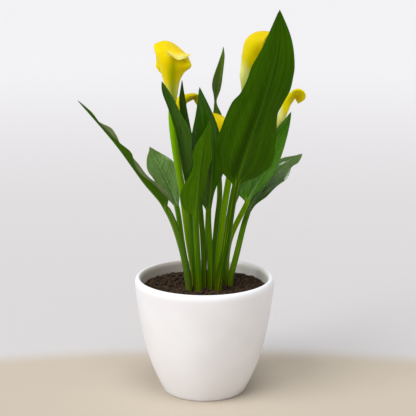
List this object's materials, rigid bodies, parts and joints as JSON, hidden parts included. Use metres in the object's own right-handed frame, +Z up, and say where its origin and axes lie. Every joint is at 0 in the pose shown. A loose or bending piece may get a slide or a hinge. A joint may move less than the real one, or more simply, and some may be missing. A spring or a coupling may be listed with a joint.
{
  "type": "potted calla lily plant",
  "caption": "Flowering calla lily with rolled spathes and upright lance-shaped leaves, growing in a tapered round pot of soil.",
  "frame": {"origin": "centre of the pot's flat base, on the surface it stands on", "axes": "+Z up along the pot's axis; the side with the large front leaf faces -Y, +X to the right seen from there"},
  "size_m": [0.2724, 0.17, 0.4734],
  "materials": {
    "pot": "satin",
    "soil": "matte",
    "tuber": "matte",
    "leaf": "satin",
    "scape": "satin",
    "spathe": "satin",
    "spadix": "matte"
  },
  "bodies": {
    "root": {"pot": "pot", "soil": "soil", "tuber": "tuber", "leaf_front_tall": "leaf", "leaf_front_short": "leaf", "leaf_centre": "leaf", "leaf_left_folded": "leaf", "leaf_spike": "leaf", "leaf_far_left": "leaf", "leaf_left_back": "leaf", "leaf_top_slim": "leaf", "leaf_right": "leaf", "leaf_right_low": "leaf", "scape_left": "scape", "spathe_left": "spathe", "spadix_left": "spadix", "scape_high": "scape", "spathe_high": "spathe", "spadix_high": "spadix", "scape_right": "scape", "spathe_right": "spathe", "spadix_right": "spadix", "scape_left_low": "scape", "spathe_left_low": "spathe", "spadix_left_low": "spadix", "scape_centre": "scape", "spathe_centre": "spathe", "spadix_centre": "spadix"}
  },
  "joints": []
}
